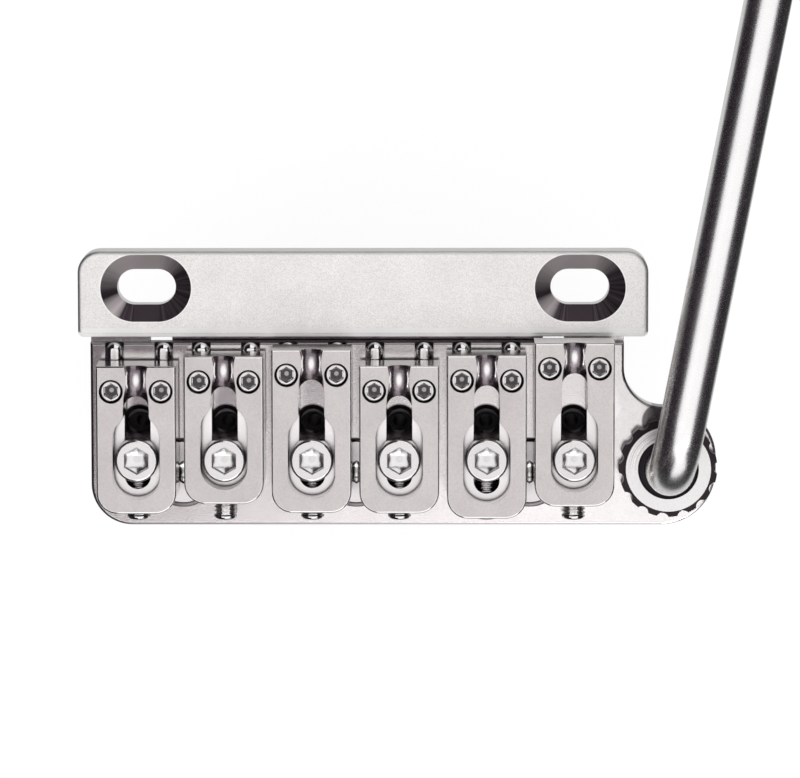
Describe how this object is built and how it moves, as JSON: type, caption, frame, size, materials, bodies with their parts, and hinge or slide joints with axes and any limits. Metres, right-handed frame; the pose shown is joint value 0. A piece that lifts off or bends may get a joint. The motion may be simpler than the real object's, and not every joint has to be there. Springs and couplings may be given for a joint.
{
  "type": "guitar tremolo bridge",
  "caption": "Steel guitar tremolo bridge: a floating base plate pivoted on a screwed-down front plate, adjustable saddles, inertia block and swinging arm.",
  "frame": {"origin": "midway between the two mounting slots, on the guitar's top (the front plate's underside)", "axes": "+Z away from the guitar's top, +Y towards the neck, +X towards the arm's side"},
  "size_m": [0.1024, 0.1304, 0.057],
  "materials": {
    "satin_steel": "satin nickel",
    "polished_steel": "polished",
    "block_steel": "brushed",
    "blackened_steel": "black oxide",
    "bronze": "plain",
    "black_nylon": "matte"
  },
  "bodies": {
    "front": {"front_plate": "satin_steel", "pivot_pins": "polished_steel"},
    "bridge": {"base_plate": "satin_steel", "pivot_bushes": "bronze", "inertia_block": "block_steel", "block_screws": "polished_steel", "guide_rods": "polished_steel", "clamp_screws": "polished_steel", "arm_bushing": "polished_steel", "arm_sleeve": "black_nylon", "bushing_nut": "polished_steel"},
    "wheel": {"tension_wheel": "blackened_steel"},
    "arm": {"arm": "polished_steel"},
    "carriage_1": {"height_screws_1": "polished_steel"},
    "saddle_1": {"saddle_1": "satin_steel"},
    "intonation_1": {"intonation_screw_1": "polished_steel"},
    "carriage_2": {"height_screws_2": "polished_steel"},
    "saddle_2": {"saddle_2": "satin_steel"},
    "intonation_2": {"intonation_screw_2": "polished_steel"},
    "carriage_3": {"height_screws_3": "polished_steel"},
    "saddle_3": {"saddle_3": "satin_steel"},
    "intonation_3": {"intonation_screw_3": "polished_steel"},
    "carriage_4": {"height_screws_4": "polished_steel"},
    "saddle_4": {"saddle_4": "satin_steel"},
    "intonation_4": {"intonation_screw_4": "polished_steel"},
    "carriage_5": {"height_screws_5": "polished_steel"},
    "saddle_5": {"saddle_5": "satin_steel"},
    "intonation_5": {"intonation_screw_5": "polished_steel"},
    "carriage_6": {"height_screws_6": "polished_steel"},
    "saddle_6": {"saddle_6": "satin_steel"},
    "intonation_6": {"intonation_screw_6": "polished_steel"}
  },
  "joints": [
    {"name": "bridge_tilt", "type": "hinge", "parent": "front", "child": "bridge", "pos_m": [0, -0.005, 0.0018], "axis": [-1, 0, 0], "range_deg": [-3.5, 15], "stiffness_Nm_per_rad": 20},
    {"name": "arm_swing", "type": "hinge", "parent": "bridge", "child": "arm", "pos_m": [0.0393, -0.0231, 0], "axis": [0, 0, 1], "continuous": true},
    {"name": "tension_wheel_turn", "type": "hinge", "parent": "bridge", "child": "wheel", "pos_m": [0.0393, -0.0231, 0.0063], "axis": [0, 0, 1], "continuous": true},
    {"name": "saddle_1_intonation", "type": "slide", "parent": "bridge", "child": "carriage_1", "axis": [0, 1, 0], "range_m": [-0.002, 0.0018]},
    {"name": "saddle_1_height", "type": "slide", "parent": "carriage_1", "child": "saddle_1", "axis": [0, 0, 1], "range_m": [-0.0005, 0.0005]},
    {"name": "intonation_screw_1_feed", "type": "slide", "parent": "saddle_1", "child": "intonation_1", "axis": [0, 1, 0], "range_m": [-0.0018, 0.002]},
    {"name": "saddle_2_intonation", "type": "slide", "parent": "bridge", "child": "carriage_2", "axis": [0, 1, 0], "range_m": [-0.0034, 0.0005]},
    {"name": "saddle_2_height", "type": "slide", "parent": "carriage_2", "child": "saddle_2", "axis": [0, 0, 1], "range_m": [-0.0005, 0.0005]},
    {"name": "intonation_screw_2_feed", "type": "slide", "parent": "saddle_2", "child": "intonation_2", "axis": [0, 1, 0], "range_m": [-0.0005, 0.0034]},
    {"name": "saddle_3_intonation", "type": "slide", "parent": "bridge", "child": "carriage_3", "axis": [0, 1, 0], "range_m": [-0.0029, 0.00165]},
    {"name": "saddle_3_height", "type": "slide", "parent": "carriage_3", "child": "saddle_3", "axis": [0, 0, 1], "range_m": [-0.0005, 0.0005]},
    {"name": "intonation_screw_3_feed", "type": "slide", "parent": "saddle_3", "child": "intonation_3", "axis": [0, 1, 0], "range_m": [-0.00165, 0.0029]},
    {"name": "saddle_4_intonation", "type": "slide", "parent": "bridge", "child": "carriage_4", "axis": [0, 1, 0], "range_m": [-0.002, 0.0018]},
    {"name": "saddle_4_height", "type": "slide", "parent": "carriage_4", "child": "saddle_4", "axis": [0, 0, 1], "range_m": [-0.0005, 0.0005]},
    {"name": "intonation_screw_4_feed", "type": "slide", "parent": "saddle_4", "child": "intonation_4", "axis": [0, 1, 0], "range_m": [-0.0018, 0.002]},
    {"name": "saddle_5_intonation", "type": "slide", "parent": "bridge", "child": "carriage_5", "axis": [0, 1, 0], "range_m": [-0.0021, 0.0025]},
    {"name": "saddle_5_height", "type": "slide", "parent": "carriage_5", "child": "saddle_5", "axis": [0, 0, 1], "range_m": [-0.0005, 0.0005]},
    {"name": "intonation_screw_5_feed", "type": "slide", "parent": "saddle_5", "child": "intonation_5", "axis": [0, 1, 0], "range_m": [-0.0025, 0.0021]},
    {"name": "saddle_6_intonation", "type": "slide", "parent": "bridge", "child": "carriage_6", "axis": [0, 1, 0], "range_m": [-0.0037, 0.00085]},
    {"name": "saddle_6_height", "type": "slide", "parent": "carriage_6", "child": "saddle_6", "axis": [0, 0, 1], "range_m": [-0.0005, 0.0005]},
    {"name": "intonation_screw_6_feed", "type": "slide", "parent": "saddle_6", "child": "intonation_6", "axis": [0, 1, 0], "range_m": [-0.00085, 0.0037]}
  ],
  "couplings": [
    {"joint": "intonation_screw_1_feed", "follows": "saddle_1_intonation", "ratio": -1},
    {"joint": "intonation_screw_2_feed", "follows": "saddle_2_intonation", "ratio": -1},
    {"joint": "intonation_screw_3_feed", "follows": "saddle_3_intonation", "ratio": -1},
    {"joint": "intonation_screw_4_feed", "follows": "saddle_4_intonation", "ratio": -1},
    {"joint": "intonation_screw_5_feed", "follows": "saddle_5_intonation", "ratio": -1},
    {"joint": "intonation_screw_6_feed", "follows": "saddle_6_intonation", "ratio": -1}
  ]
}
